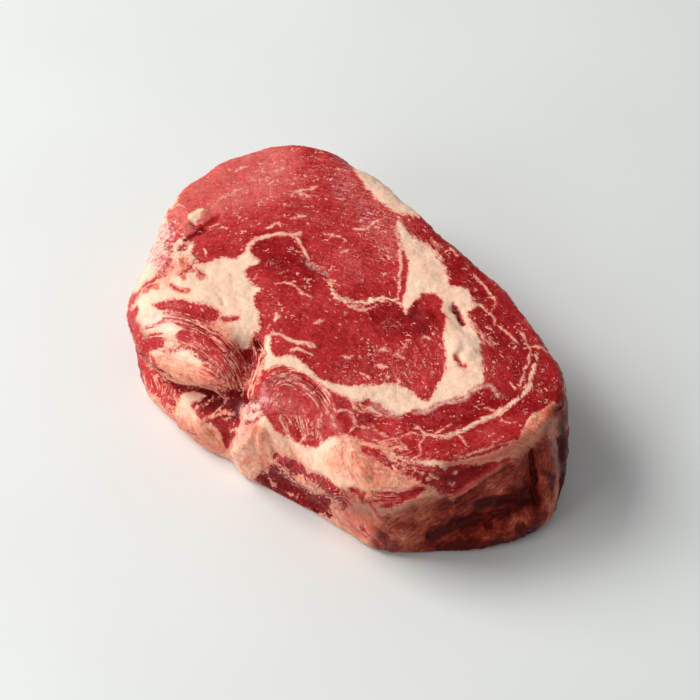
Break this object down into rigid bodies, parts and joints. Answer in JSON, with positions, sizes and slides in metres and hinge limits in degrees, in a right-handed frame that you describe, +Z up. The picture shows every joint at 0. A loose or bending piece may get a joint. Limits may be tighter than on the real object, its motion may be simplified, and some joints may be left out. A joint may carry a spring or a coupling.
{
  "type": "raw beef steak",
  "caption": "Thick-cut boneless raw rib-eye steak with a loose flap, a notch beside it and a marbled upper cut face, lying flat.",
  "frame": {"origin": "middle of the box round the steak, on the lower cut face that it rests on", "axes": "+X along the length towards the thick cap end, +Z up through the thickness, -Y the side with the loose flap and the notch"},
  "size_m": [0.1744, 0.1114, 0.0432],
  "materials": {
    "raw_beef": "moist marbled meat with cream fat, semi-gloss"
  },
  "bodies": {
    "root": {"steak": "raw_beef"}
  },
  "joints": []
}
